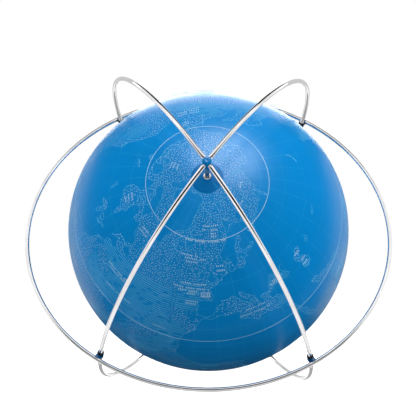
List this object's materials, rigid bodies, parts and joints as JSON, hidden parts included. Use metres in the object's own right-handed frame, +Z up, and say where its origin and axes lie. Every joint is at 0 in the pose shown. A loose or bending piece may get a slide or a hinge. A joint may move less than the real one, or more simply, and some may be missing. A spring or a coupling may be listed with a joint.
{
  "type": "desktop globe on stand",
  "caption": "Blue desk globe that turns on its polar axis inside a resting cage of bent chrome wire rings.",
  "frame": {"origin": "point on the table straight under the globe's centre, at the height of the cage's three contact points", "axes": "+Z up, -Y towards the front where the north hub leans out, +X to the right along the tilted ring's level diameter"},
  "size_m": [0.3935, 0.3738, 0.3196],
  "materials": {
    "globe_shell": "satin azure with fine white map print",
    "chrome_wire": "bright chrome plate",
    "blue_moulding": "semi-gloss moulded blue",
    "axle_steel": "drawn steel tube",
    "bearing_nylon": "natural nylon",
    "inner_plastic": "unpainted inner moulding"
  },
  "bodies": {
    "stand": {"arm_front_left": "chrome_wire", "ring_clip_front_left": "blue_moulding", "arm_front_right": "chrome_wire", "ring_clip_front_right": "blue_moulding", "arm_back_right": "chrome_wire", "ring_clip_back_right": "blue_moulding", "arm_back_left": "chrome_wire", "ring_clip_back_left": "blue_moulding", "tilted_ring": "chrome_wire", "axle_tube": "axle_steel", "north_hub": "blue_moulding", "north_collar": "chrome_wire", "north_thrust_washer": "bearing_nylon", "south_hub": "blue_moulding", "south_collar": "chrome_wire", "south_thrust_washer": "bearing_nylon"},
    "globe": {"equator_joining_band": "inner_plastic", "northern_hemisphere": "globe_shell", "north_pole_bush": "bearing_nylon", "north_pole_cap": "blue_moulding", "southern_hemisphere": "globe_shell", "south_pole_bush": "bearing_nylon", "south_pole_cap": "blue_moulding"}
  },
  "joints": [
    {"name": "globe_spin", "type": "hinge", "parent": "stand", "child": "globe", "pos_m": [0, 0, 0.1598], "axis": [0, -0.9489, 0.3156], "continuous": true}
  ]
}
